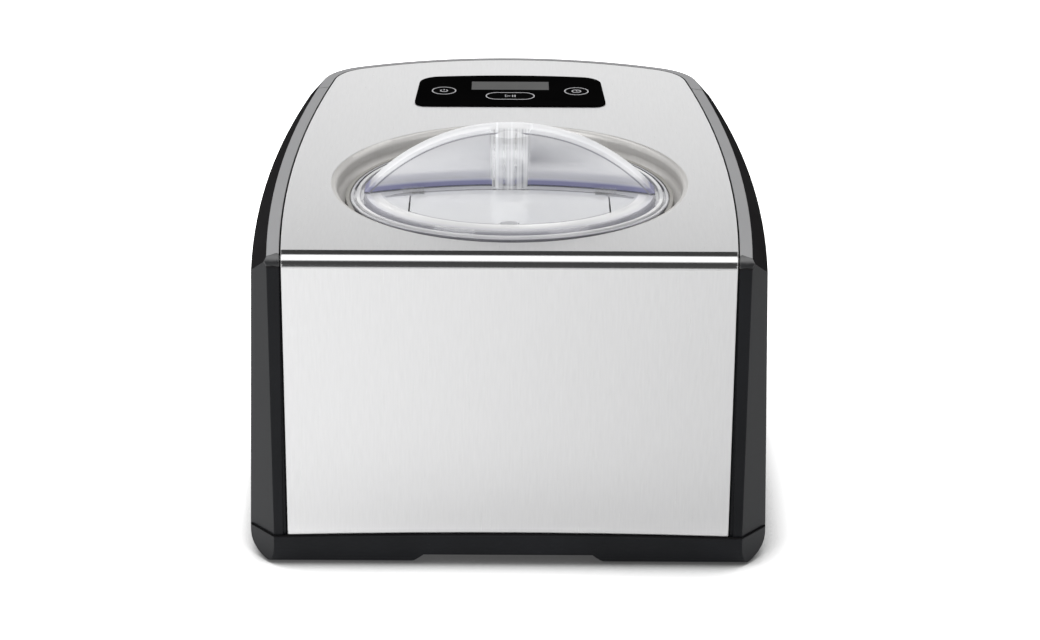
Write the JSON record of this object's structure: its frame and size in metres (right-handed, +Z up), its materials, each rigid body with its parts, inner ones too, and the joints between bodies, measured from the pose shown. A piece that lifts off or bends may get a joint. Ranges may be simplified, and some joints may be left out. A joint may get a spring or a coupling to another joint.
{
  "type": "ice cream maker",
  "caption": "Compressor ice cream maker with brushed-steel front and top, black covers, clear lid with arched handle, keypad, lift-out bowl and geared paddle.",
  "frame": {"origin": "on the table under the middle of the machine", "axes": "+Z up, front towards -Y, +X to the right seen from the front"},
  "size_m": [0.326, 0.428, 0.239],
  "materials": {
    "brushed_steel": "vertical brushed grain on the front, front-to-back grain on the top, polished dish",
    "black_plastic": "satin black moulded plastic with a fine texture",
    "panel_black": "gloss black panel",
    "display_grey": "blank grey display",
    "key_black": "gloss black keys with light grey outlines",
    "clear_plastic": "clear moulded plastic, faintly blue at the edges",
    "feet_rubber": "matt black rubber",
    "bowl_aluminium": "spun aluminium",
    "copper": null,
    "foam": null,
    "compressor_black": "black painted steel",
    "zinc_steel": "zinc plated steel",
    "bush_brass": "turned brass",
    "board_green": "solder-masked circuit board",
    "gear_nylon": "white nylon",
    "paddle_plastic": "frosted food-safe plastic",
    "inner_plastic": "dark grey moulded plastic",
    "collar_grey": "light grey moulded plastic round the bowl's seat",
    "hub_clear": "clear moulded plastic of the lid's hub and hinge pins",
    "fin_aluminium": "thin aluminium fins"
  },
  "bodies": {
    "housing": {"base_tray": "black_plastic", "rubber_feet": "feet_rubber", "foot_screws": "zinc_steel", "steel_cover": "brushed_steel", "right_side_cover": "black_plastic", "left_side_cover": "black_plastic", "rear_cover": "black_plastic", "control_overlay": "panel_black", "display_window": "display_grey", "display_module": "inner_plastic", "key_pads": "feet_rubber", "control_board": "board_green", "well_collar": "collar_grey", "well": "bowl_aluminium", "evaporator": "copper", "insulation": "foam", "chassis_plate": "zinc_steel", "plate_screws": "zinc_steel", "gearbox_housing": "inner_plastic", "gearbox_screws": "zinc_steel", "mixing_motor": "zinc_steel", "intermediate_axle": "zinc_steel", "shaft_bush": "bush_brass", "shaft_seal": "feet_rubber", "compressor": "compressor_black", "compressor_grommets": "feet_rubber", "compressor_studs": "zinc_steel", "terminal_cover": "inner_plastic", "condenser": "fin_aluminium", "fan_shroud": "inner_plastic", "fan_motor": "zinc_steel", "filter_drier": "copper", "refrigerant_pipes": "copper", "power_board": "board_green", "terminal_block": "inner_plastic", "cord_gland": "black_plastic"},
    "drive_shaft": {"drive_shaft": "zinc_steel", "output_gear": "gear_nylon"},
    "intermediate_gear": {"intermediate_gear": "gear_nylon"},
    "motor_pinion": {"motor_pinion": "bush_brass"},
    "fan": {"fan": "inner_plastic"},
    "left_key": {"left_key": "key_black"},
    "middle_key": {"middle_key": "key_black"},
    "right_key": {"right_key": "key_black"},
    "bowl": {"bowl": "bowl_aluminium"},
    "paddle": {"paddle": "paddle_plastic"},
    "lid_hub": {"lid_hub": "hub_clear"},
    "lid": {"lid": "clear_plastic", "flap_pins": "hub_clear"},
    "ingredient_flap": {"ingredient_flap": "clear_plastic"}
  },
  "joints": [
    {"name": "drive_spin", "type": "hinge", "parent": "housing", "child": "drive_shaft", "pos_m": [0, -0.0705, 0.1], "axis": [0, 0, 1], "continuous": true},
    {"name": "intermediate_spin", "type": "hinge", "parent": "housing", "child": "intermediate_gear", "pos_m": [-0.0375, -0.0705, 0.1], "axis": [0, 0, 1], "continuous": true},
    {"name": "pinion_spin", "type": "hinge", "parent": "housing", "child": "motor_pinion", "pos_m": [-0.075, -0.0705, 0.1], "axis": [0, 0, 1], "continuous": true},
    {"name": "fan_spin", "type": "hinge", "parent": "housing", "child": "fan", "pos_m": [0.09, 0.088, 0.085], "axis": [1, 0, 0], "continuous": true},
    {"name": "left_key_press", "type": "slide", "parent": "housing", "child": "left_key", "axis": [0, 0, -1], "range_m": [0, 0.0006], "stiffness_N_per_m": 1500, "springref_m": -0.0005},
    {"name": "middle_key_press", "type": "slide", "parent": "housing", "child": "middle_key", "axis": [0, 0, -1], "range_m": [0, 0.0006], "stiffness_N_per_m": 1500, "springref_m": -0.0005},
    {"name": "right_key_press", "type": "slide", "parent": "housing", "child": "right_key", "axis": [0, 0, -1], "range_m": [0, 0.0006], "stiffness_N_per_m": 1500, "springref_m": -0.0005},
    {"name": "bowl_lift", "type": "slide", "parent": "housing", "child": "bowl", "axis": [0, 0, 1], "range_m": [0, 0.2]},
    {"name": "paddle_spin", "type": "hinge", "parent": "bowl", "child": "paddle", "pos_m": [0, -0.0705, 0.1], "axis": [0, 0, 1], "continuous": true},
    {"name": "lid_lift", "type": "slide", "parent": "bowl", "child": "lid_hub", "axis": [0, 0, 1], "range_m": [0, 0.12]},
    {"name": "lid_twist", "type": "hinge", "parent": "lid_hub", "child": "lid", "pos_m": [0, -0.0705, 0.1], "axis": [0, 0, -1], "range_deg": [0, 15]},
    {"name": "flap_swing", "type": "hinge", "parent": "lid", "child": "ingredient_flap", "pos_m": [0, -0.088, 0.20054], "axis": [-1, 0, 0], "range_deg": [0, 75]}
  ],
  "couplings": [
    {"joint": "intermediate_spin", "follows": "drive_spin", "ratio": -4},
    {"joint": "pinion_spin", "follows": "drive_spin", "ratio": 16},
    {"joint": "paddle_spin", "follows": "drive_spin", "ratio": 1}
  ]
}
